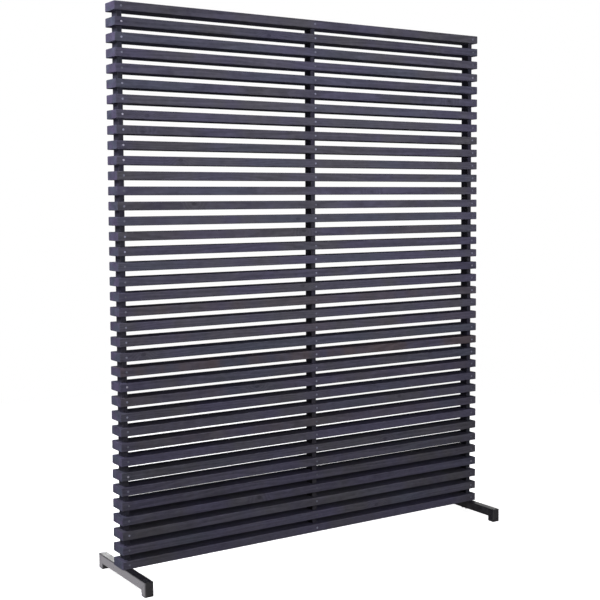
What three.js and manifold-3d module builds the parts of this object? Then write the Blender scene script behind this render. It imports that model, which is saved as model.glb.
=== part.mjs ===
// Free-standing garden privacy screen: a tall stack of dark-stained timber slats threaded on three
// timber posts, standing on two low steel feet. Millimetres. X runs along the slats, Y runs from the
// front to the back, Z is up, and the origin is on the ground under the middle of the screen.
//
// Each slat is mortised right through for the posts, except the top one, whose blind mortises hide
// the post ends. Each foot is a square tube mitred into a low arch, with plastic glides pushed
// into its open ends, and two bolts run up through it into the end of the outer post.

import * as THREE from 'three';
import { mergeVertices } from 'three/addons/utils/BufferGeometryUtils.js';
import Module from 'manifold-3d';

const wasm = await Module();
wasm.setup();

// ---------------------------------------------------------------- driving sizes

// slats
const slatCount = 38;
const slatLength = 1500;
const slatDepth = 72;
const slatHeight = 28;
const slatGap = 20;
const slatArris = 2.5; // radius of the four softened long edges
const slatEndArris = 1.2; // chamfer round the sawn ends

// posts
const postWidth = 18; // along the slats
const postDepth = 38; // front to back
const postArris = 1.5;
const postInset = 23; // from a slat's end to the centre of the outer post
const capMortiseDepth = 17; // how far the posts rise into the top slat

// feet: one square tube section for the bar and for both legs
const footLength = 360; // front to back
const tubeWidth = 30;
const tubeDepth = 30;
const tubeWall = 2;
const tubeCorner = 3; // outer corner radius of the tube section
const footRise = 48; // ground to the top of the bar

// glides
const glideFlange = 3;
const glideFlangeEdge = 0.8; // chamfer round the flange
const glidePlugLength = 12;
const glidePlugWall = 1.8;

// bolts from the foot up into the post
const boltShank = 6;
const boltSpacing = 20; // the pair of bolts, front to back
const boltBite = 42; // length inside the post
const boltPointLength = 4;
const boltHeadFlats = 10;
const boltHeadHeight = 4;
const boltWasher = 14; // diameter of the pressed flange under the head
const boltWasherHeight = 1.2;

// clearances
const seatGap = 0.3; // between pieces that rest on or butt against each other
const mortiseGap = 0.3; // round a post in its mortise
const boltHoleGap = 0.35; // round a bolt in its holes, as a radius
const plugGap = 0.3; // round a glide's plug in its tube

// ---------------------------------------------------------------- sizes that follow

const slatPitch = slatHeight + slatGap;
const panelBottom = footRise + seatGap;
const panelHeight = slatCount * slatHeight + (slatCount - 1) * slatGap;
const capBottom = panelBottom + panelHeight - slatHeight;
const postTop = capBottom + capMortiseDepth - seatGap;
const outerPost = slatLength / 2 - postInset;
const postCentres = [-outerPost, 0, outerPost];
const boltHole = boltShank + 2 * boltHoleGap;

// ---------------------------------------------------------------- materials

function stainedTimber(colour) {
  return new THREE.MeshStandardMaterial({ color: colour, roughness: 0.62, metalness: 0 });
}

const slatStain = 0x45434c;
const postStain = 0x3a3840;

function powderCoat() {
  return new THREE.MeshStandardMaterial({ color: 0x2b2b2d, roughness: 0.38, metalness: 0.55 });
}

function glidePlastic() {
  return new THREE.MeshStandardMaterial({ color: 0x17171a, roughness: 0.6, metalness: 0 });
}

function zincPlate() {
  return new THREE.MeshStandardMaterial({ color: 0x9a9c9e, roughness: 0.35, metalness: 0.9 });
}

// ---------------------------------------------------------------- outlines and solids

// A rectangle with rounded corners, centred on its own origin.
function roundedRectangle(width, height, radius, Outline = THREE.Shape) {
  const outline = new Outline();
  const x = width / 2 - radius;
  const y = height / 2 - radius;
  const quarter = Math.PI / 2;
  outline.absarc(x, y, radius, 0, quarter);
  outline.absarc(-x, y, radius, quarter, 2 * quarter);
  outline.absarc(-x, -y, radius, 2 * quarter, 3 * quarter);
  outline.absarc(x, -y, radius, 3 * quarter, 4 * quarter);
  outline.closePath();
  return outline;
}

function tubeOutline() {
  const outline = roundedRectangle(tubeWidth, tubeDepth, tubeCorner);
  const bore = roundedRectangle(
    tubeWidth - 2 * tubeWall,
    tubeDepth - 2 * tubeWall,
    tubeCorner - tubeWall,
    THREE.Path,
  );
  outline.holes.push(bore);
  return outline;
}

// A straight prism along +Z from z = 0. Each round corner has two facets.
function prism(outline, length) {
  return new THREE.ExtrudeGeometry(outline, {
    depth: length,
    steps: 1,
    curveSegments: 1,
    bevelEnabled: false,
  });
}

// A prism whose two ends are chamfered by `edge`, still `length` long and as wide as its outline.
function chamferedPrism(outline, length, edge) {
  const solid = new THREE.ExtrudeGeometry(outline, {
    depth: length - 2 * edge,
    steps: 1,
    curveSegments: 1,
    bevelEnabled: true,
    bevelThickness: edge,
    bevelSize: edge,
    bevelOffset: -edge,
    bevelSegments: 1,
  });
  return solid.translate(0, 0, edge);
}

// Turns a prism drawn in its section's plane so that it runs along X: section x becomes Y, y becomes Z.
const alongX = new THREE.Matrix4().makeBasis(
  new THREE.Vector3(0, 1, 0),
  new THREE.Vector3(0, 0, 1),
  new THREE.Vector3(1, 0, 0),
);

// Turns a prism so that it runs along Y: section x becomes -X, y becomes Z.
const alongY = new THREE.Matrix4().makeBasis(
  new THREE.Vector3(-1, 0, 0),
  new THREE.Vector3(0, 0, 1),
  new THREE.Vector3(0, 1, 0),
);

function weld(geometry) {
  const bare = geometry.clone();
  bare.deleteAttribute('normal');
  bare.deleteAttribute('uv');
  return mergeVertices(bare, 1e-4);
}

function toSolid(geometry) {
  const welded = weld(geometry);
  return new wasm.Manifold(
    new wasm.Mesh({
      numProp: 3,
      vertProperties: new Float32Array(welded.attributes.position.array),
      triVerts: new Uint32Array(welded.index.array),
    }),
  );
}

function toGeometry(solid) {
  const mesh = solid.getMesh();
  const geometry = new THREE.BufferGeometry();
  geometry.setAttribute('position', new THREE.BufferAttribute(mesh.vertProperties, 3));
  geometry.setIndex(new THREE.BufferAttribute(mesh.triVerts, 1));
  return geometry;
}

function cut(geometry, tools) {
  let solid = toSolid(geometry);
  for (const tool of tools) solid = solid.subtract(toSolid(tool));
  return toGeometry(solid);
}

function join(pieces) {
  const [first, ...rest] = pieces;
  let solid = toSolid(first);
  for (const piece of rest) solid = solid.add(toSolid(piece));
  return toGeometry(solid);
}

// ---------------------------------------------------------------- slats

// A slat lies centred on X and Y, on z = 0. `mortiseDepth` is measured up from its underside.
function slatGeometry(mortiseDepth) {
  const overrun = 1;
  const board = chamferedPrism(
    roundedRectangle(slatDepth, slatHeight, slatArris),
    slatLength,
    slatEndArris,
  );
  board.applyMatrix4(alongX).translate(-slatLength / 2, 0, slatHeight / 2);
  const mortises = postCentres.map((x) => {
    const tool = new THREE.BoxGeometry(
      postWidth + 2 * mortiseGap,
      postDepth + 2 * mortiseGap,
      mortiseDepth + overrun,
    );
    return tool.translate(x, 0, (mortiseDepth - overrun) / 2);
  });
  return cut(board, mortises);
}

function addSlats(screen) {
  const throughMortise = slatHeight + 1;
  const slat = slatGeometry(throughMortise);
  const cap = slatGeometry(capMortiseDepth);
  for (let row = 1; row <= slatCount; row += 1) {
    const isCap = row === 1;
    const mesh = new THREE.Mesh(isCap ? cap : slat, stainedTimber(slatStain));
    mesh.name = isCap ? 'top_slat' : `slat_${String(row).padStart(2, '0')}`;
    mesh.position.z = capBottom - (row - 1) * slatPitch;
    screen.add(mesh);
  }
}

// ---------------------------------------------------------------- posts

// A post stands on z = 0. The outer posts have a pilot hole for each foot bolt in their lower end.
function postGeometry(height, pilots) {
  const post = prism(roundedRectangle(postWidth, postDepth, postArris), height);
  const overrun = 1;
  const pilotDepth = boltBite + 2;
  const holes = pilots.map((y) => boltHoleTool(-overrun, pilotDepth).translate(0, y, 0));
  return cut(post, holes);
}

function addPosts(screen) {
  const height = postTop - panelBottom;
  const outer = postGeometry(height, boltRows());
  const middle = postGeometry(height, []);
  const names = ['post_left', 'post_middle', 'post_right'];
  postCentres.forEach((x, i) => {
    const isMiddle = i === 1;
    const mesh = new THREE.Mesh(isMiddle ? middle : outer, stainedTimber(postStain));
    mesh.name = names[i];
    mesh.position.set(x, 0, panelBottom);
    screen.add(mesh);
  });
}

// ---------------------------------------------------------------- foot bolts

function boltRows() {
  return [-boltSpacing / 2, boltSpacing / 2];
}

// A round cutting tool along Z between two heights, as wide as a bolt's clearance hole.
function boltHoleTool(from, to) {
  const tool = new THREE.CylinderGeometry(boltHole / 2, boltHole / 2, to - from, 16);
  return tool.rotateX(Math.PI / 2).translate(0, 0, (from + to) / 2);
}

// The bolt points up. Its origin is under the flange that bears on the bar, on its own axis.
function boltGeometry() {
  const shankLength = seatGap + tubeDepth + seatGap + boltBite;
  const radius = boltShank / 2;
  const profile = [
    [0, -boltWasherHeight],
    [boltWasher / 2 - 0.8, -boltWasherHeight],
    [boltWasher / 2, -0.5],
    [boltWasher / 2, 0],
    [radius, 0],
    [radius, shankLength - boltPointLength],
    [0.8, shankLength],
    [0, shankLength],
  ].map(([x, y]) => new THREE.Vector2(x, y));
  const stem = new THREE.LatheGeometry(profile, 16).rotateX(Math.PI / 2);
  const corner = boltHeadFlats / Math.sqrt(3);
  const overlap = 0.4;
  const head = new THREE.CylinderGeometry(corner, corner, boltHeadHeight + overlap, 6);
  head.rotateX(Math.PI / 2).translate(0, 0, overlap - boltWasherHeight - (boltHeadHeight + overlap) / 2);
  return join([stem, head]);
}

// ---------------------------------------------------------------- feet

// Slants the top end of an upright prism, or an end of a level one, to the plane of the mitre. Both
// pieces of a corner have the same section, so the mitre lies at 45 degrees.
function moveEnd(geometry, isEnd, move) {
  const place = geometry.attributes.position;
  const point = new THREE.Vector3();
  for (let i = 0; i < place.count; i += 1) {
    point.fromBufferAttribute(place, i);
    if (isEnd(point)) {
      move(point);
      place.setXYZ(i, point.x, point.y, point.z);
    }
  }
  geometry.computeVertexNormals();
  return geometry;
}

// The level bar, centred on X and Y, with its top at `footRise`.
function footBarGeometry() {
  const half = footLength / 2;
  const bar = prism(tubeOutline(), footLength);
  bar.applyMatrix4(alongY).translate(0, -half, footRise - tubeDepth / 2);
  moveEnd(
    bar,
    () => true,
    (point) => {
      const drop = footRise - point.z;
      point.y = Math.sign(point.y) * (half - drop);
    },
  );
  const overrun = 1;
  const holes = boltRows().map((y) => {
    const tool = boltHoleTool(footRise - tubeDepth - overrun, footRise + overrun);
    return tool.translate(0, y, 0);
  });
  return cut(bar, holes);
}

// The front leg, standing on z = 0 with its outer face at y = 0 and its top mitred to meet the bar.
function footLegGeometry() {
  const height = footRise - glideFlange - seatGap;
  const leg = prism(tubeOutline(), height);
  leg.translate(0, tubeDepth / 2, 0);
  const mitreGap = seatGap * Math.SQRT2;
  return moveEnd(
    leg,
    (point) => point.z > height / 2,
    (point) => {
      point.z = height - mitreGap - point.y;
    },
  );
}

// A push-in glide, standing on z = 0: a flange the size of the tube under a hollow plug.
function glideGeometry() {
  const flange = chamferedPrism(
    roundedRectangle(tubeWidth, tubeDepth, tubeCorner),
    glideFlange,
    glideFlangeEdge,
  );
  const shrink = 2 * (tubeWall + plugGap);
  const plugWidth = tubeWidth - shrink;
  const plugDepth = tubeDepth - shrink;
  const plugCorner = 1;
  const boreWidth = plugWidth - 2 * glidePlugWall;
  const boreDepth = plugDepth - 2 * glidePlugWall;
  const plugOutline = roundedRectangle(plugWidth, plugDepth, plugCorner);
  plugOutline.holes.push(roundedRectangle(boreWidth, boreDepth, plugCorner / 2, THREE.Path));
  const root = 0.5;
  const plug = prism(plugOutline, glidePlugLength + root).translate(0, 0, glideFlange - root);
  return join([flange, plug]);
}

// One foot in its own group, centred under its post.
function makeFoot(side) {
  const foot = new THREE.Group();
  const add = (name, geometry, material) => {
    const mesh = new THREE.Mesh(geometry, material);
    mesh.name = `foot_${side}_${name}`;
    foot.add(mesh);
    return mesh;
  };

  add('bar', footBarGeometry(), powderCoat());
  const ends = [
    { name: 'front', turn: 0, y: -footLength / 2 },
    { name: 'rear', turn: Math.PI, y: footLength / 2 },
  ];
  for (const { name, turn, y } of ends) {
    const leg = add(`leg_${name}`, footLegGeometry(), powderCoat());
    leg.rotation.z = turn;
    leg.position.set(0, y, glideFlange + seatGap);
    const glide = add(`glide_${name}`, glideGeometry(), glidePlastic());
    glide.position.y = y - (Math.sign(y) * tubeDepth) / 2;
  }
  boltRows().forEach((y, i) => {
    const bolt = add(`bolt_${i === 0 ? 'front' : 'rear'}`, boltGeometry(), zincPlate());
    bolt.position.set(0, y, footRise - tubeDepth - seatGap);
  });
  return foot;
}

// ---------------------------------------------------------------- the screen

const screen = new THREE.Group();
addSlats(screen);
addPosts(screen);

const footLeft = makeFoot('left');
footLeft.position.x = -outerPost;
screen.add(footLeft);

const footRight = makeFoot('right');
footRight.position.x = outerPost;
screen.add(footRight);

export default screen;
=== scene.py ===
"""Looks of the garden privacy screen: dark-stained slats and posts, powder-coated feet, screws and welds.

Everything is in metres in the frame's own axes: X along the slats, Y from front to back, Z up.
"""

import math
import random
from collections import namedtuple

import bmesh
import bpy
from mathutils import Matrix, Vector


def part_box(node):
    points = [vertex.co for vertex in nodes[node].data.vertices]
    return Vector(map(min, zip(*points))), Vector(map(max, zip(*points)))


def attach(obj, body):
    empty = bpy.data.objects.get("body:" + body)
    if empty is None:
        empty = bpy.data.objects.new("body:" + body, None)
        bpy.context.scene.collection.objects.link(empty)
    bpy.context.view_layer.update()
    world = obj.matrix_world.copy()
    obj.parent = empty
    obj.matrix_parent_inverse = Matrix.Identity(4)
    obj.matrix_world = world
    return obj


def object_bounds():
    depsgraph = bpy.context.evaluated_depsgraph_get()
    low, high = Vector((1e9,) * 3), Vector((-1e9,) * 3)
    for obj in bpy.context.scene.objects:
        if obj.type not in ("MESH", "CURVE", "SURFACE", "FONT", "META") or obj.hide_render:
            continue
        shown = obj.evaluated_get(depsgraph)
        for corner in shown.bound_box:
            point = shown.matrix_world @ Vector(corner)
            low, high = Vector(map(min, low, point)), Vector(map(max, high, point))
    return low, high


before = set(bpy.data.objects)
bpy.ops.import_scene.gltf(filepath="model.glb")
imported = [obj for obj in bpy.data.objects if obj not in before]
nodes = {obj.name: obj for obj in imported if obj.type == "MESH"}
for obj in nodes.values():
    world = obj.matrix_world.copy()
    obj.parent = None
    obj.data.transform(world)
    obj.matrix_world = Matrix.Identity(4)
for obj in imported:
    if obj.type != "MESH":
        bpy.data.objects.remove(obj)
cad_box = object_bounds()

# ---------------------------------------------------------------- sizes read from the frame

MM = 0.001
SLATS = sorted(n for n in nodes if n.startswith("slat_")) + ["top_slat"]
POSTS = ("post_left", "post_middle", "post_right")
SIDES = (("left", -1), ("right", 1))
ENDS = (("front", -1), ("rear", 1))

slat_low, slat_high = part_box("slat_38")
SLAT_LENGTH = slat_high.x - slat_low.x
SLAT_DEPTH = slat_high.y - slat_low.y
SLAT_HEIGHT = slat_high.z - slat_low.z
SLAT_FRONT = slat_low.y
SLAT_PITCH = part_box("slat_37")[0].z - slat_low.z
FIRST_ROW = (slat_low.z + slat_high.z) / 2  # middle height of the lowest slat

post_low, post_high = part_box("post_right")
POST_X = (post_low.x + post_high.x) / 2
POST_WIDTH = post_high.x - post_low.x
POST_DEPTH = post_high.y - post_low.y

bar_low, bar_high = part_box("foot_right_bar")
TUBE_WIDTH = bar_high.x - bar_low.x
TUBE_DEPTH = bar_high.z - bar_low.z
TUBE_CORNER = 3 * MM
TUBE_WALL = 2 * MM
FOOT_TOP = bar_high.z
FOOT_REACH = cad_box[1].y
BAR_UNDER = bar_low.z
BAR_MIDDLE = FOOT_TOP - TUBE_DEPTH / 2
LEG_MIDDLE = FOOT_REACH - TUBE_DEPTH / 2
LEG_INNER = FOOT_REACH - TUBE_DEPTH

SEED = 11
WHITE = (1.0, 1.0, 1.0)


# ---------------------------------------------------------------- node trees


class Nodes:
    """A node tree, built from sockets and plain values."""

    def __init__(self, tree):
        self.tree = tree
        self.tree.nodes.clear()
        self.coords = self.node("TexCoord").outputs

    def node(self, kind, **settings):
        made = self.tree.nodes.new("ShaderNode" + kind)
        for key, value in settings.items():
            setattr(made, key, value)
        return made

    def put(self, socket, value):
        if isinstance(value, bpy.types.NodeSocket):
            self.tree.links.new(value, socket)
        else:
            socket.default_value = value

    def fill(self, made, *values):
        """Puts the values on the node's first inputs and returns its first output."""
        for socket, value in zip(made.inputs, values):
            self.put(socket, value)
        return made.outputs[0]

    def math(self, operation, a, b=0.0, c=0.0):
        return self.fill(self.node("Math", operation=operation), a, b, c)

    def add(self, a, b):
        return self.math("ADD", a, b)

    def sub(self, a, b):
        return self.math("SUBTRACT", a, b)

    def mul(self, a, b):
        return self.math("MULTIPLY", a, b)

    def size(self, value):
        return self.math("ABSOLUTE", value)

    def length(self, a, b):
        return self.math("SQRT", self.add(self.mul(a, a), self.mul(b, b)))

    def vary(self, value, source, amount, middle=0.5):
        """The value, moved up or down as the source departs from its middle."""
        return self.add(value, self.mul(self.sub(source, middle), amount))

    def total(self, value, *parts):
        """The value plus each source times its own amount."""
        for source, amount in parts:
            value = self.add(value, self.mul(source, amount))
        return value

    def step(self, value, start, end, low=0.0, high=1.0):
        """A smooth step from low to high while the value goes from start to end."""
        made = self.node("MapRange", interpolation_type="SMOOTHSTEP")
        return self.fill(made, value, start, end, low, high)

    def split(self, vector):
        made = self.node("SeparateXYZ")
        self.put(made.inputs[0], vector)
        return made.outputs

    def vector(self, x, y, z):
        return self.fill(self.node("CombineXYZ"), x, y, z)

    def mix(self, factor, first, second):
        """The second shader over the first."""
        return self.fill(self.node("MixShader"), factor, first, second)

    def plain(self, kind, colour=WHITE, strength=None):
        """A shader of one colour: a diffuse one, or one that shines with the given strength."""
        made = self.node(kind)
        made.inputs["Color"].default_value = (*colour, 1.0)
        if strength is not None:
            self.put(made.inputs["Strength"], strength)
        return made.outputs[0]


class Shader(Nodes):
    """One material."""

    def __init__(self, name):
        self.material = bpy.data.materials.new(name)
        self.material.use_nodes = True
        super().__init__(self.material.node_tree)
        self.output = self.node("OutputMaterial").inputs["Surface"]
        self.place = self.coords["Object"]

    def noise(self, vector, scale=1.0, detail=2.0, rough=0.5):
        made = self.node("TexNoise")
        self.put(made.inputs["Vector"], vector)
        made.inputs["Scale"].default_value = scale
        made.inputs["Detail"].default_value = detail
        made.inputs["Roughness"].default_value = rough
        return made.outputs[0]

    def dice(self, number, throw):
        """Three random values from 0 to 1 for each whole number, another set for each throw."""
        made = self.node("TexWhiteNoise", noise_dimensions="2D")
        self.put(made.inputs["Vector"], self.vector(number, throw + 0.5, 0.0))
        return self.split(made.outputs["Color"])

    def blend(self, factor, a, b, mode="MIX"):
        made = self.node("Mix", data_type="RGBA", blend_type=mode)
        self.put(made.inputs[0], factor)
        for socket, value in ((made.inputs[6], a), (made.inputs[7], b)):
            self.put(socket, (*value, 1.0) if isinstance(value, tuple) else value)
        return made.outputs[2]

    def shade(self, colour, factor):
        """The colour times a grey factor."""
        grey = self.fill(self.node("CombineColor"), factor, factor, factor)
        return self.blend(1.0, colour, grey, "MULTIPLY")

    def bump(self, height, distance):
        made = self.node("Bump")
        made.inputs["Strength"].default_value = 1.0
        made.inputs["Distance"].default_value = distance
        self.put(made.inputs["Height"], height)
        return made.outputs[0]

    def near_edge(self, a, half_a, b, half_b, width, core=0.3):
        """1 along the edge where two faces of a box meet, 0 further off than the width."""
        from_a, from_b = (self.sub(half, self.size(v)) for v, half in ((a, half_a), (b, half_b)))
        return self.mul(self.step(from_a, width, core * width), self.step(from_b, width, core * width))

    def surface(self, colour, rough, normal, specular=0.5, metallic=0.0):
        made = self.node("BsdfPrincipled")
        for key, value in (
            ("Base Color", colour),
            ("Roughness", rough),
            ("Normal", normal),
            ("Specular IOR Level", specular),
            ("Metallic", metallic),
        ):
            self.put(made.inputs[key], value)
        self.put(self.output, made.outputs[0])
        return self.material


# ---------------------------------------------------------------- timber

STAIN_GREY = (0.064, 0.062, 0.074)
STAIN_VIOLET = (0.062, 0.058, 0.093)
STAIN_BROWN = (0.074, 0.056, 0.058)
STAIN_BLUE = (0.057, 0.062, 0.087)
BARE_EDGE = (0.17, 0.155, 0.16)
END_VIOLET = (0.069, 0.059, 0.098)
END_BLUE = (0.058, 0.062, 0.088)

# noise cells per metre, along the grain and across it
RING_WANDER = (1.3, 7.0)
RING_RAGGED = (9.0, 160.0)
FIBRES = (16.0, 1150.0)
STREAKS = (3.2, 210.0)
PORES = (55.0, 900.0)
MOTTLE = (42.0, 75.0)
WEAR = (22.0, 60.0)
FIBRE_STEP = 1.71  # how far the fibres move on from one board to the next

RING_SPACING = 2.9 * MM
RING_SWAY = 26 * MM
PITH_SPREAD = 110 * MM  # the middle of the log lies somewhere in this height
PITH_NEAREST = 22 * MM  # and from here on back
PITH_FURTHER = 60 * MM
KNOT_FREE = 0.55  # share of the boards that have no knot
KNOT_ROOM = (0.9 * SLAT_LENGTH, 0.5 * SLAT_HEIGHT)
KNOT_LONGER = 0.62
KNOT_RIM = (6.5 * MM, 4.5 * MM)
KNOT_RINGS = 0.9 * MM
SWIRL_REACH = (34 * MM, 5 * MM)
SWIRL_TURNS = 2.6
LATE_RISE = (0.25, 0.86)  # in each ring the latewood darkens slowly and stops at once
LATE_STOP = (1.0, 0.9)

VIOLET_SPAN = (0.34, 0.64)
BLUE_SPAN = (0.50, 0.72)
BROWN_ROW = 25  # counted from the top, the slat that has taken the stain browner
BROWN_NUMBER = float(len(SLATS) - BROWN_ROW + SEED)
BROWN_BOARDS = (0.80, 0.99)
BROWN_CLOUD = (0.34, 0.60)
BROWN_MOST = 0.7

# how much each of these lightens or darkens the stain
TONE_BOARD = 0.16
TONE_CLOUD = 0.30
TONE_MOTTLE = 0.55
TONE_RINGS = 0.20
TONE_FIBRES = 0.42
TONE_STREAKS = 0.46
TONE_PORES = -0.22
TONE_KNOT = -0.30
RINGS_MIDDLE = 0.35

RUB_WIDTH = 2.6 * MM
RUB_MOST = 0.38
WOOD_ROUGH = 0.84
WOOD_SHEEN = 0.10  # of the fronts and ends; the level faces are dull
POST_SHEEN = 0.02
POST_PAINTED_SHADE = 0.49  # painted shade: the posts' colour against the slats', darkened for the shade in the gaps they are seen through
POST_NUMBER = SEED + 60.0
GRAIN_RELIEF = 0.16 * MM
FACING = (0.55, 0.85)  # how square to an axis a normal is where an end face begins
LEVEL = (0.45, 0.85)

# places in a board's own grain, which board it is, its half sizes, and where its end faces are
Board = namedtuple("Board", "along across deep number half_across half_deep end")


def grain(s, board, cells, along_step=0.0, deep_step=0.0):
    """A place in the board's grain, in noise cells, moved on from one board to the next."""
    along, across = cells

    def moved(value, scale, step):
        scaled = s.mul(value, scale)
        return s.add(scaled, s.mul(board.number, step)) if step else scaled

    return s.vector(
        moved(board.along, along, along_step),
        s.mul(board.across, across),
        moved(board.deep, across, deep_step),
    )


def patches(s, board, cells, board_step, layer, detail=3.0, rough=0.6):
    """Noise that changes along a board and not across it."""
    place = s.vector(s.mul(board.along, cells), s.mul(board.number, board_step), layer)
    return s.noise(place, detail=detail, rough=rough)


def knots(s, board):
    """How far off the board's knot is, where the grain swirls round it, and the knot itself."""
    own = s.dice(board.number, 2)
    knot_at, knot_up = (s.mul(s.sub(own[i], 0.5), room) for i, room in enumerate(KNOT_ROOM))
    along = s.mul(s.sub(board.along, knot_at), KNOT_LONGER)
    away = s.length(along, s.sub(board.across, knot_up))
    has_knot = s.step(own[2], KNOT_FREE, KNOT_FREE + 0.01)
    swirl, knot = (s.mul(s.step(away, *span), has_knot) for span in (SWIRL_REACH, KNOT_RIM))
    return away, swirl, knot


def growth_rings(s, board):
    """Latewood bands of a board cut from a log that lies along it, bent round a knot on some boards."""
    own = s.dice(board.number, 1)
    pith_across = s.mul(s.sub(own[0], 0.5), PITH_SPREAD)
    pith_deep = s.add(s.mul(own[1], PITH_FURTHER), PITH_NEAREST)
    radius = s.length(s.sub(board.across, pith_across), s.sub(board.deep, pith_deep))
    wander = s.noise(grain(s, board, RING_WANDER, deep_step=3.7))
    radius = s.add(radius, s.mul(wander, RING_SWAY))
    away, swirl, knot = knots(s, board)
    knot_turns = s.math("DIVIDE", away, KNOT_RINGS)
    ragged = s.noise(grain(s, board, RING_RAGGED))
    turns = s.total(
        s.math("DIVIDE", radius, RING_SPACING), (swirl, SWIRL_TURNS), (knot, knot_turns), (ragged, 0.5)
    )
    phase = s.math("FRACT", turns)
    late = s.mul(s.step(phase, *LATE_RISE), s.step(phase, *LATE_STOP))
    return late, knot


def fibres(s, board):
    """Fine and broad streaks that run with the grain, and short dark pores."""
    fine, broad, dashes = (
        s.noise(grain(s, board, cells, along_step=FIBRE_STEP), detail=detail)
        for cells, detail in ((FIBRES, 3.0), (STREAKS, 3.0), (PORES, 1.0))
    )
    return fine, broad, s.step(dashes, 0.66, 0.74)


def stain_hue(s, board, cloud):
    """Grey, violet and blue patches along the board, and brown ones on one board and traces on a few."""
    own = s.dice(board.number, 3)
    patch = patches(s, board, 3.4, 5.3, 0.0)
    violet = s.step(s.vary(patch, own[0], 0.10), *VIOLET_SPAN)
    colour = s.blend(violet, STAIN_GREY, STAIN_VIOLET)
    blue = s.step(patches(s, board, 2.1, 3.9, 9.0, detail=2.0, rough=0.5), *BLUE_SPAN)
    colour = s.blend(s.mul(blue, 0.8), colour, STAIN_BLUE)
    is_brown = s.math("COMPARE", board.number, BROWN_NUMBER, 0.5)
    trace = s.mul(s.step(own[1], *BROWN_BOARDS), 0.5)
    brown = s.mul(s.math("MAXIMUM", is_brown, trace), s.step(cloud, *BROWN_CLOUD))
    return s.blend(s.mul(brown, BROWN_MOST), colour, STAIN_BROWN)


def stain_colour(s, board, late, knot, fine, broad, pores):
    """A thin blue-black stain: patchy along each board, a little different from board to board."""
    own = s.dice(board.number, 4)
    cloud = patches(s, board, 9.0, 8.1, 4.0)
    mottle = s.noise(grain(s, board, MOTTLE, deep_step=2.3), rough=0.65)
    tone = s.vary(1.0, own[0], TONE_BOARD)
    tone = s.vary(tone, cloud, TONE_CLOUD)
    tone = s.vary(tone, mottle, TONE_MOTTLE)
    tone = s.vary(tone, late, TONE_RINGS, RINGS_MIDDLE)
    tone = s.vary(tone, fine, TONE_FIBRES)
    tone = s.vary(tone, broad, TONE_STREAKS)
    tone = s.total(tone, (pores, TONE_PORES), (knot, TONE_KNOT))
    return s.shade(stain_hue(s, board, cloud), tone)


def rubbed_edges(s, board):
    """Where the long edges have been handled the stain is thinner."""
    near = s.near_edge(board.across, board.half_across, board.deep, board.half_deep, RUB_WIDTH, 0.25)
    wear = s.noise(grain(s, board, WEAR), detail=4.0, rough=0.65)
    return s.mul(near, s.step(wear, 0.46, 0.70))


def end_grain(s, board, late):
    """Colour of the sawn ends, which drink the stain unevenly, and the specks of the cut fibres."""

    def noise(step, along=0.0, **settings):
        place = s.add(s.mul(board.number, step), along)
        return s.noise(s.vector(board.across, board.deep, place), **settings)

    speck = noise(0.37, scale=1500.0)
    blot = noise(0.61, board.along, scale=26.0, detail=3.0, rough=0.6)
    place = s.vector(s.mul(board.across, 30.0), s.mul(board.deep, 22.0), s.mul(board.number, 3.29))
    hue = s.step(s.noise(place), 0.40, 0.62)
    tone = s.total(0.74, (late, 0.34))
    tone = s.vary(s.vary(tone, speck, 0.9), blot, 1.3)
    return s.shade(s.blend(hue, END_VIOLET, END_BLUE), tone), speck


def finish_timber(s, board, shine, painted_shade=1.0):
    """Stained faces, rubbed edges, end grain, a painted shade factor over the colour, and the relief of the
    fibres.
    """
    late, knot = growth_rings(s, board)
    fine, broad, pores = fibres(s, board)
    colour = stain_colour(s, board, late, knot, fine, broad, pores)
    colour = s.blend(s.mul(rubbed_edges(s, board), RUB_MOST), colour, BARE_EDGE)
    end_colour, speck = end_grain(s, board, late)
    # painted_shade scales the whole colour: 1 on the slats, less on the posts as painted shade for the gaps
    # between the slats
    colour = s.shade(s.blend(board.end, colour, end_colour), painted_shade)

    rough = s.total(s.vary(WOOD_ROUGH, broad, 0.30), (late, -0.05), (board.end, 0.10))
    cut_fibres = s.mul(speck, board.end)
    relief = s.total(s.mul(late, 0.35), (fine, 0.9), (broad, 0.8), (pores, -0.9), (cut_fibres, 1.4))
    return s.surface(colour, rough, s.bump(relief, GRAIN_RELIEF), shine)


def row_of(s, z):
    """Which slat this height belongs to, counted from the lowest."""
    return s.math("ROUND", s.math("DIVIDE", s.sub(z, FIRST_ROW), SLAT_PITCH))


def post_of(s, x):
    """Which post this is near: -1, 0 or 1 from left to right."""
    return s.math("ROUND", s.math("DIVIDE", x, POST_X))


def slat_timber():
    """Boards that lie along X. Each board finds its own number from its height."""
    s = Shader("slat_timber")
    x, y, z = s.split(s.place)
    normal = s.split(s.coords["Normal"])
    row = row_of(s, z)
    up = s.sub(s.sub(z, FIRST_ROW), s.mul(row, SLAT_PITCH))
    end = s.step(s.size(normal[0]), *FACING)
    board = Board(x, up, y, s.add(row, float(SEED)), SLAT_HEIGHT / 2, SLAT_DEPTH / 2, end)
    return finish_timber(s, board, s.step(s.size(normal[2]), *LEVEL, WOOD_SHEEN, 0.0))


def post_timber():
    """The uprights, with their grain along Z, and their colour darkened as painted shade."""
    s = Shader("post_timber")
    x, y, z = s.split(s.place)
    normal = s.split(s.coords["Normal"])
    which = post_of(s, x)
    aside = s.sub(x, s.mul(which, POST_X))
    end = s.step(s.size(normal[2]), *FACING)
    board = Board(z, aside, y, s.add(which, POST_NUMBER), POST_WIDTH / 2, POST_DEPTH / 2, end)
    return finish_timber(s, board, POST_SHEEN, POST_PAINTED_SHADE)


# ---------------------------------------------------------------- metal and plastic

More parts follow.
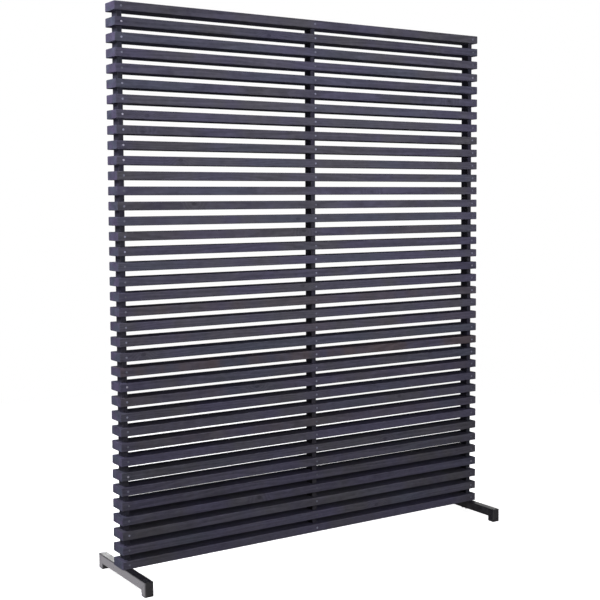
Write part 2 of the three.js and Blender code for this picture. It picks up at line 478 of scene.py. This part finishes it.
COAT_BLACK = (0.0084, 0.0074, 0.0100)
COAT_THIN = (0.045, 0.045, 0.048)
COAT_ROUGH = 0.30
COAT_EDGE = 3.2 * MM  # the coat is thinner this near to an edge
BEAD_ROUGH = 0.40
DUST = (0.20, 0.19, 0.18)
PLASTIC_BLACK = (0.010, 0.010, 0.011)
PLASTIC_ROUGH = 0.55
SCUFF_HEIGHT = (2.2 * MM, 0.2 * MM)
ZINC = (0.60, 0.61, 0.64)
ZINC_WARM = (0.64, 0.60, 0.50)
ZINC_ROUGH = 0.24
STAINED_METAL = (0.130, 0.134, 0.180)
BARE_METAL = (0.25, 0.245, 0.30)
SCREW_ROUGH = 0.46


def powder_coat():
    """Satin black powder coat on steel tube: orange peel, thin edges, a trace of dust where it lies flat."""
    s = Shader("foot_steel")
    x, y, z = s.split(s.place)
    normal = s.split(s.coords["Normal"])
    peel = s.noise(s.place, scale=620.0)
    grit = s.noise(s.place, scale=2400.0, detail=1.0)
    cloud = s.noise(s.place, scale=38.0, detail=3.0, rough=0.6)
    aside = s.sub(s.size(x), POST_X)
    bar_edge, leg_edge = (
        s.near_edge(aside, TUBE_WIDTH / 2, s.sub(across, middle), TUBE_DEPTH / 2, COAT_EDGE)
        for across, middle in ((z, BAR_MIDDLE), (s.size(y), LEG_MIDDLE))
    )
    thin = s.mul(s.math("MAXIMUM", bar_edge, leg_edge), s.step(cloud, 0.44, 0.68))
    colour = s.blend(s.mul(thin, 0.5), COAT_BLACK, COAT_THIN)
    colour = s.shade(colour, s.total(0.86, (grit, 0.28)))
    lying = s.mul(s.step(normal[2], 0.6, 0.95), s.step(cloud, 0.50, 0.75))
    colour = s.blend(s.mul(lying, 0.02), colour, DUST)
    rub = s.noise(s.vector(s.mul(x, 60.0), s.mul(y, 60.0), s.mul(z, 420.0)), detail=3.0, rough=0.7)
    rough = s.total(s.vary(COAT_ROUGH, cloud, 0.22), (s.step(rub, 0.60, 0.72), 0.03))
    return s.surface(colour, rough, s.bump(s.total(peel, (grit, 0.25)), 0.03 * MM), specular=0.6)


def weld_coat():
    """The same coat over the welds, where it lies a little duller and rougher."""
    s = Shader("foot_weld")
    peel = s.noise(s.place, scale=900.0)
    colour = s.shade(COAT_BLACK, s.total(0.8, (peel, 0.5)))
    rough = s.total(BEAD_ROUGH, (peel, 0.20))
    return s.surface(colour, rough, s.bump(peel, 0.10 * MM), specular=0.45)


def glide_plastic():
    """Moulded black plastic with a fine sparked texture, scuffed at the ground."""
    s = Shader("glide_plastic")
    z = s.split(s.place)[2]
    spark = s.noise(s.place, scale=3200.0)
    scuffs = s.noise(s.place, scale=210.0, detail=4.0, rough=0.7)
    worn = s.mul(s.step(z, *SCUFF_HEIGHT), s.step(scuffs, 0.45, 0.62))
    colour = s.shade(PLASTIC_BLACK, s.total(0.8, (spark, 0.4)))
    colour = s.blend(s.mul(worn, 0.30), colour, DUST)
    rough = s.vary(PLASTIC_ROUGH, spark, 0.30)
    return s.surface(colour, rough, s.bump(s.add(spark, scuffs), 0.05 * MM), specular=0.4)


def plating(s):
    """Soft patches and a fine grain over plated metal."""
    return s.noise(s.place, scale=420.0, detail=3.0, rough=0.6), s.noise(s.place, scale=2600.0)


def zinc():
    """Bright zinc plate with a faint yellow bloom."""
    s = Shader("bolt_steel")
    bloom, fine = plating(s)
    colour = s.shade(s.blend(s.step(bloom, 0.40, 0.66), ZINC, ZINC_WARM), s.total(0.88, (fine, 0.24)))
    return s.surface(colour, s.total(ZINC_ROUGH, (bloom, 0.22)), s.bump(fine, 0.02 * MM), metallic=1.0)


def screw_metal(name, colour, spread, metallic):
    """A screw head under the slats' stain, more of it on one screw than on the next."""
    s = Shader(name)
    x, _, z = s.split(s.place)
    number = s.add(row_of(s, z), s.mul(post_of(s, x), 53.0))
    own = s.dice(number, 7)[0]
    bloom, fine = plating(s)
    tone = s.vary(s.total(1.0 - spread / 2, (own, spread)), fine, 0.4)
    tone = s.total(tone, (s.step(bloom, 0.55, 0.75), 0.3))
    rough = s.total(SCREW_ROUGH, (bloom, 0.2))
    return s.surface(s.shade(colour, tone), rough, s.bump(fine, 0.03 * MM), 0.4, metallic)


# ---------------------------------------------------------------- the CAD solids' shading and materials

SMOOTH_LIMIT = math.radians(50)


def smoothing_group():
    """Smooth shading, except across edges sharper than the limit."""
    group = bpy.data.node_groups.new("smooth_by_angle", "GeometryNodeTree")
    for way in ("INPUT", "OUTPUT"):
        group.interface.new_socket("Geometry", in_out=way, socket_type="NodeSocketGeometry")
    start = group.nodes.new("NodeGroupInput")
    end = group.nodes.new("NodeGroupOutput")
    angle = group.nodes.new("GeometryNodeInputMeshEdgeAngle")
    gentle = group.nodes.new("FunctionNodeCompare")
    gentle.data_type = "FLOAT"
    gentle.operation = "LESS_THAN"
    gentle.inputs[1].default_value = SMOOTH_LIMIT
    faces = group.nodes.new("GeometryNodeSetShadeSmooth")
    faces.domain = "FACE"
    edges = group.nodes.new("GeometryNodeSetShadeSmooth")
    edges.domain = "EDGE"
    link = group.links.new
    link(angle.outputs["Unsigned Angle"], gentle.inputs[0])
    link(start.outputs[0], faces.inputs[0])
    link(faces.outputs[0], edges.inputs[0])
    link(gentle.outputs[0], edges.inputs["Shade Smooth"])
    link(edges.outputs[0], end.inputs[0])
    return group


def soften(obj, group):
    """Rounds the shading of the small facets and keeps the wide faces flat."""
    modifier = obj.modifiers.new("smooth", "NODES")
    modifier.node_group = group
    weighted = obj.modifiers.new("weighted", "WEIGHTED_NORMAL")
    weighted.keep_sharp = True
    weighted.weight = 100


def dress_nodes():
    """A material and soft edges for every CAD node, found by the word in its name."""
    coat = powder_coat()
    materials = {
        "slat": slat_timber(),
        "post": post_timber(),
        "_bar": coat,
        "_leg_": coat,
        "_glide_": glide_plastic(),
        "_bolt_": zinc(),
    }
    group = smoothing_group()
    for name, obj in nodes.items():
        obj.data.materials.clear()
        obj.data.materials.append(next(m for word, m in materials.items() if word in name))
        soften(obj, group)


# ---------------------------------------------------------------- small pieces made here


def mesh_object(name, bm, materials):
    """A new object in the scene from a bmesh, which is freed."""
    mesh = bpy.data.meshes.new(name)
    bm.to_mesh(mesh)
    bm.free()
    for material in materials:
        mesh.materials.append(material)
    obj = bpy.data.objects.new(name, mesh)
    bpy.context.scene.collection.objects.link(obj)
    return obj


def piece(name, build, materials):
    """A small piece made by build(bmesh), riding on the one body."""
    bm = bmesh.new()
    build(bm)
    bmesh.ops.recalc_face_normals(bm, faces=bm.faces)
    obj = mesh_object(name, bm, materials)
    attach(obj, "root")


def closed_ring(bm, points):
    """A closed ring of vertices and its edges."""
    ring = [bm.verts.new(p) for p in points]
    edges = [bm.edges.new(pair) for pair in zip(ring, ring[1:] + ring[:1])]
    return ring, edges


def skin(bm, lower, upper, index=0, smooth=True):
    """Quads between two rings of the same count."""
    for a, b, c, d in zip(lower, lower[1:] + lower[:1], upper[1:] + upper[:1], upper):
        face = bm.faces.new((a, b, c, d))
        face.smooth = smooth
        face.material_index = index


# ---------------------------------------------------------------- slat screws

SCREW_RADIUS = 3.5 * MM
SCREW_PROUD = 1.0 * MM
SCREW_SIDES = 28
HEAD_PROFILE = ((1.0, 0.0), (1.0, 0.45), (0.95, 0.78), (0.82, 0.97))  # shares of the radius and height
RECESS_ARM = 1.95 * MM
RECESS_HALF = 0.48 * MM
RECESS_DEPTH = 0.8 * MM
RECESS_NARROW = 0.72  # its bottom against its mouth
OFF_LINE = 0.9  # how far off a screw may sit, in millimetres
OFF_HEIGHT = 0.8
BARE_ROWS = (2, 10, 11)  # counted from the top, where the left screws have lost their stain
BARE_SHARE = 0.07  # of all other screws


def cross_outline():
    """The twelve corners of a cross recess, going round."""
    quarter = [(RECESS_ARM, -RECESS_HALF), (RECESS_ARM, RECESS_HALF), (RECESS_HALF, RECESS_HALF)]
    points = []
    for turn in range(4):
        spin = Matrix.Rotation(turn * math.pi / 2, 2)
        points += [tuple(spin @ Vector(p)) for p in quarter]
    return points


def screw_head(bm, centre, spin, index):
    """A low pan head with a cross recess, facing -Y."""
    turn = Matrix.Rotation(spin, 2)

    def at(u, v, out):
        u, v = turn @ Vector((u, v))
        return centre + Vector((u, -out, v))

    def circle(radius, out):
        angles = (2 * math.pi / SCREW_SIDES * i for i in range(SCREW_SIDES))
        return [at(radius * math.cos(angle), radius * math.sin(angle), out) for angle in angles]

    def cross(share, out):
        return [at(share * u, share * v, out) for u, v in cross_outline()]

    rings = [closed_ring(bm, circle(SCREW_RADIUS * r, SCREW_PROUD * h)) for r, h in HEAD_PROFILE]
    for (lower, _), (upper, _) in zip(rings, rings[1:]):
        skin(bm, lower, upper, index)
    mouth, mouth_edges = closed_ring(bm, cross(1.0, SCREW_PROUD))
    filled = bmesh.ops.triangle_fill(bm, edges=rings[-1][1] + mouth_edges, use_beauty=True)
    for item in filled["geom"]:
        if isinstance(item, bmesh.types.BMFace):
            item.material_index = index
    bottom, _ = closed_ring(bm, cross(RECESS_NARROW, SCREW_PROUD - RECESS_DEPTH))
    skin(bm, mouth, bottom, index, smooth=False)
    for ring in (bottom, rings[0][0]):
        bm.faces.new(ring).material_index = index


def slat_screws(bare, stained):
    """One screw through the front of each slat into each post."""
    dice = random.Random(SEED)
    for name, side in zip(POSTS, (-1, 0, 1)):

        def build(bm):
            for row in range(len(SLATS)):
                z = FIRST_ROW + row * SLAT_PITCH + dice.uniform(-OFF_HEIGHT, OFF_HEIGHT) * MM
                x = side * POST_X + dice.uniform(-OFF_LINE, OFF_LINE) * MM
                lost = len(SLATS) - row in BARE_ROWS and side == -1
                index = 0 if lost or dice.random() < BARE_SHARE else 1
                screw_head(bm, Vector((x, SLAT_FRONT, z)), dice.uniform(0, math.pi / 2), index)

        piece(name.replace("post", "screws"), build, (bare, stained))


# ---------------------------------------------------------------- welds

SEAM_PROUD = 0.05 * MM
SEAM_TOP = 0.1 * MM  # the most that a seam stands above the foot
# across the mitre, and out from the tube's face
SEAM_PROFILE = (
    (-0.95 * MM, -0.25 * MM),
    (-0.55 * MM, SEAM_PROUD),
    (0.0, 1.3 * SEAM_PROUD),
    (0.55 * MM, SEAM_PROUD),
    (0.95 * MM, -0.25 * MM),
    (0.0, -TUBE_WALL),
)
BEAD_RADIUS = 2.6 * MM
BEAD_LENGTH = TUBE_WIDTH - 2 * TUBE_CORNER
BEAD_RINGS = 40
BEAD_SIDES = 10
BEAD_OUT = 0.35 * BEAD_RADIUS  # its middle stands this far out of the corner
RIPPLE_DEPTH = 0.10
RIPPLE_HALF = 2.5  # rings to half a ripple
RIPPLE_CHANCE = 0.04


def tube_outline(half_wide, half_deep, corner, steps=6):
    """Outline of the tube section, as (across, out) pairs."""
    points = []
    for k, (sx, sy) in enumerate(((1, 1), (-1, 1), (-1, -1), (1, -1))):
        for i in range(steps + 1):
            angle = (k + i / steps) * math.pi / 2
            across = sx * (half_wide - corner) + corner * math.cos(angle)
            out = sy * (half_deep - corner) + corner * math.sin(angle)
            points.append((across, out))
    return points


def mitre_seam(bm, centre_x, end):
    """The ground weld that fills the mitre between the bar and a leg, just proud of the tube."""
    across_mitre = Vector((0, end, -1)).normalized()
    rings = []
    for offset, out in SEAM_PROFILE:
        corner = TUBE_CORNER + max(out, -TUBE_WALL / 2)
        ring = []
        for u, v in tube_outline(TUBE_WIDTH / 2 + out, TUBE_DEPTH / 2 + out, corner):
            point = Vector((centre_x + u, end * (LEG_MIDDLE + v), BAR_MIDDLE + v))
            point += across_mitre * offset
            point.y = max(-FOOT_REACH, min(FOOT_REACH, point.y))
            point.z = min(point.z, FOOT_TOP + SEAM_TOP)
            ring.append(bm.verts.new(point))
        rings.append(ring)
    for lower, upper in zip(rings, rings[1:] + rings[:1]):
        skin(bm, lower, upper)


def fillet_bead(bm, centre_x, end):
    """The rippled weld bead in the inner corner under the bar."""
    dice = random.Random(SEED + 5 + end)
    rings = []
    for i in range(BEAD_RINGS + 1):
        share = i / BEAD_RINGS
        chance = dice.uniform(-RIPPLE_CHANCE, RIPPLE_CHANCE)
        ripple = 1 + RIPPLE_DEPTH * math.sin(i * math.pi / RIPPLE_HALF) + chance
        taper = math.sqrt(max(0.03, 1 - (2 * share - 1) ** 6))
        size = BEAD_RADIUS * ripple * taper
        middle = Vector(
            (centre_x + BEAD_LENGTH * (share - 0.5), end * (LEG_INNER - BEAD_OUT), BAR_UNDER - BEAD_OUT)
        )
        angles = (2 * math.pi * k / BEAD_SIDES for k in range(BEAD_SIDES))
        points = (middle + Vector((0, math.cos(a) * size, math.sin(a) * size)) for a in angles)
        rings.append([bm.verts.new(point) for point in points])
    for lower, upper in zip(rings, rings[1:]):
        skin(bm, lower, upper)
    for cap in (rings[0], rings[-1]):
        bm.faces.new(cap)


def welds(material):
    """A seam and a bead at each of the four mitred corners."""
    for side_name, side in SIDES:
        for end_name, end in ENDS:

            def build(bm):
                mitre_seam(bm, side * POST_X, end)
                fillet_bead(bm, side * POST_X, end)

            piece(f"foot_{side_name}_weld_{end_name}", build, (material,))


# ---------------------------------------------------------------- floor

FLOOR_SEEN = (0.80, 0.80, 0.80)
FLOOR_LIFT = 0.90
FLOOR_BOUNCE = (0.09, 0.09, 0.093)
FLOOR_TINT = (0.98, 0.945, 1.0)
FLOOR_RINGS = (2.0, 5.0, 12.0, 30.0)
FLOOR_SIDES = 48
SHADOW_RADIUS = (1.9, 3.4)  # the floor turns plain white between these distances
FLOOR_MIRRORED = (1.85, 0.36)  # glow in reflections: a painted pool of light beside the left foot, and less in front of the slats
FLOOR_PAINTED_SHADOW = 0.22  # painted shadow: how much less the floor glows in reflections under the slats and behind them
SHADE_EDGE = (-POST_X - 0.030, -POST_X + 0.010)
SHADE_FRONT = (-0.24, -0.12)


def floor_material():
    """White to the camera but for the shadow, dim as a bounce, and in reflections a glow with a painted pool
    of light beside the left foot and painted shadow under and behind the slats.

    From below the floor is clear, so that the underside can be looked at.
    """
    s = Shader("studio_floor")
    x, y, _ = s.split(s.place)
    path = s.node("LightPath").outputs
    near = s.fill(
        s.node("AddShader"), s.plain("BsdfDiffuse", FLOOR_SEEN), s.plain("Emission", strength=FLOOR_LIFT)
    )
    far = s.plain("Emission", strength=1.0)
    shown = s.mix(s.step(s.length(x, y), *SHADOW_RADIUS), near, far)
    # painted shadow of the screen and a painted pool of light beside the left foot, seen only in reflections
    painted_shadow = s.mul(s.step(x, *SHADE_EDGE), s.step(y, *SHADE_FRONT, 0.0, FLOOR_PAINTED_SHADOW))
    strength = s.sub(s.step(x, *SHADE_EDGE, *FLOOR_MIRRORED), painted_shadow)
    mirrored = s.plain("Emission", FLOOR_TINT, strength)
    bounce = s.mix(path["Is Glossy Ray"], s.plain("BsdfDiffuse", FLOOR_BOUNCE), mirrored)
    seen = s.math("MAXIMUM", path["Is Camera Ray"], path["Is Transmission Ray"])
    above = s.mix(seen, bounce, shown)
    clear = s.node("BsdfTransparent").outputs[0]
    s.put(s.output, s.mix(s.node("NewGeometry").outputs["Backfacing"], above, clear))
    return s.material


def studio_floor():
    bm = bmesh.new()
    inner = None
    for radius in FLOOR_RINGS:
        angles = (2 * math.pi * i / FLOOR_SIDES for i in range(FLOOR_SIDES))
        ring = [bm.verts.new((radius * math.cos(a), radius * math.sin(a), 0)) for a in angles]
        if inner:
            skin(bm, ring, inner, smooth=False)
        else:
            bm.faces.new(ring)
        inner = ring
    mesh_object("studio_floor", bm, (floor_material(),))


# ---------------------------------------------------------------- world and lamps

WORLD_FILL = 0.07
FILL_TINT = (0.93, 0.95, 1.0)
SWEEP_TOP = (math.sin(math.radians(12)), math.sin(math.radians(17)))  # the white sweep ends in between
SWEEP_SIDE = (-0.30, 0.20)
ROOM = 0.30  # how bright the room is above the sweep and in front of it

KEY_TINT = (1.0, 0.985, 0.90)
UPPER_TINT = (0.92, 0.91, 1.0)
LEFT_TINT = (0.92, 0.92, 1.0)
LEVEL_TINT = (0.94, 0.94, 1.0)
BACK_TINT = (0.98, 0.99, 1.0)
LEFT_END = -SLAT_LENGTH / 2
RIGHT_END = SLAT_LENGTH / 2
LEFT_FOOT = (-0.73, 0.1, 0.05)


def studio_world():
    """White to the camera; in reflections a white sweep behind the screen in a dimmer room."""
    world = bpy.data.worlds.new("studio")
    bpy.context.scene.world = world
    world.use_nodes = True
    s = Nodes(world.node_tree)
    path = s.node("LightPath").outputs
    _, back, up = s.split(s.coords["Generated"])
    sweep = s.mul(s.step(up, *SWEEP_TOP, 1.0, 0.0), s.step(back, *SWEEP_SIDE))
    white = s.plain("Background", strength=1.0)
    mirrored = s.mix(sweep, s.plain("Background", strength=ROOM), white)
    lit = s.mix(path["Is Glossy Ray"], s.plain("Background", FILL_TINT, WORLD_FILL), mirrored)
    through = s.mix(path["Is Transmission Ray"], lit, white)
    shown = s.mix(path["Is Camera Ray"], through, white)
    s.put(s.node("OutputWorld").inputs["Surface"], shown)


def softbox(name, place, aim, size, power, colour=WHITE, spread=180):
    """A rectangular lamp, width by height in metres, that the camera doesn't see."""
    light = bpy.data.lights.new(name, "AREA")
    light.shape = "RECTANGLE"
    light.size, light.size_y = size
    light.energy = power
    light.color = colour
    light.spread = math.radians(spread)
    obj = bpy.data.objects.new(name, light)
    obj.location = place
    obj.rotation_mode = "QUATERNION"
    obj.rotation_quaternion = (Vector(aim) - Vector(place)).to_track_quat("-Z", "Y")
    obj.visible_camera = False
    bpy.context.scene.collection.objects.link(obj)
    return obj


def lights():
    """Level lamps far off on all four sides, which leave the gaps dark, and a strip over the cap.

    The upper half of the front gets more, as in the photograph. So do the left ends, from high up,
    where the slats keep the lamp off the posts. The last lamp is seen only in the left foot's gloss.
    """
    softbox("key_far", (0.7, -9.0, 0.95), (0.1, 0, 0.95), (2.4, 1.6), 300, KEY_TINT)
    softbox("key_upper", (0.1, -2.1, 1.52), (0.1, 0, 1.52), (2.2, 0.6), 13.5, UPPER_TINT, 100)
    softbox("side_left", (-3.0, 0.0, 3.2), (LEFT_END, 0, 1.5), (1.2, 1.2), 155, LEFT_TINT)
    softbox("side_level", (-6.0, 0.0, 0.9), (LEFT_END, 0, 0.9), (1.2, 1.2), 98, LEVEL_TINT)
    softbox("key_back", (0.4, 12.0, 0.70), (0.1, 0, 0.80), (2.0, 1.2), 480, BACK_TINT)
    softbox("side_right", (9.0, 2.4, 0.70), (RIGHT_END, 0, 0.80), (1.6, 1.2), 450, BACK_TINT)
    softbox("top_strip", (0, 0, 2.7), (0, 0, 1.85), (1.6, 0.06), 6.5)
    card = softbox("back_sheen", (0.76, 3.6, 1.33), LEFT_FOOT, (0.9, 0.32), 8.2)
    card.visible_diffuse = False


# ---------------------------------------------------------------- camera, fitted to the photograph's edges

FOCAL_PIXELS = 1123.58
IMAGE_SIZE = 600
SENSOR = 36.0
PRINCIPAL = (306.26, 272.09)
YAW, PITCH, ROLL = (math.radians(a) for a in (33.438, 3.756, -0.272))
EYE = (-2.2011, -3.3059, 1.2362)


def camera():
    data = bpy.data.cameras.new("photo_camera")
    data.sensor_width = SENSOR
    data.lens = FOCAL_PIXELS * SENSOR / IMAGE_SIZE
    data.shift_x = (IMAGE_SIZE / 2 - PRINCIPAL[0]) / IMAGE_SIZE
    data.shift_y = (PRINCIPAL[1] - IMAGE_SIZE / 2) / IMAGE_SIZE
    obj = bpy.data.objects.new("photo_camera", data)
    ahead = math.cos(PITCH)
    forward = Vector((math.sin(YAW) * ahead, math.cos(YAW) * ahead, -math.sin(PITCH)))
    level = Vector((math.cos(YAW), -math.sin(YAW), 0))
    upright = level.cross(forward)
    right = math.cos(ROLL) * level + math.sin(ROLL) * upright
    up = -math.sin(ROLL) * level + math.cos(ROLL) * upright
    turn = Matrix((right, up, -forward)).transposed()
    obj.matrix_world = Matrix.Translation(EYE) @ turn.to_4x4()
    bpy.context.scene.collection.objects.link(obj)
    bpy.context.scene.camera = obj


# ---------------------------------------------------------------- the scene

dress_nodes()
slat_screws(
    screw_metal("bare_screw", BARE_METAL, spread=0.2, metallic=0.5),
    screw_metal("stained_screw", STAINED_METAL, spread=1.1, metallic=0.3),
)
welds(weld_coat())

studio_floor()
studio_world()
lights()
camera()
bpy.context.scene.view_settings.view_transform = "Standard"
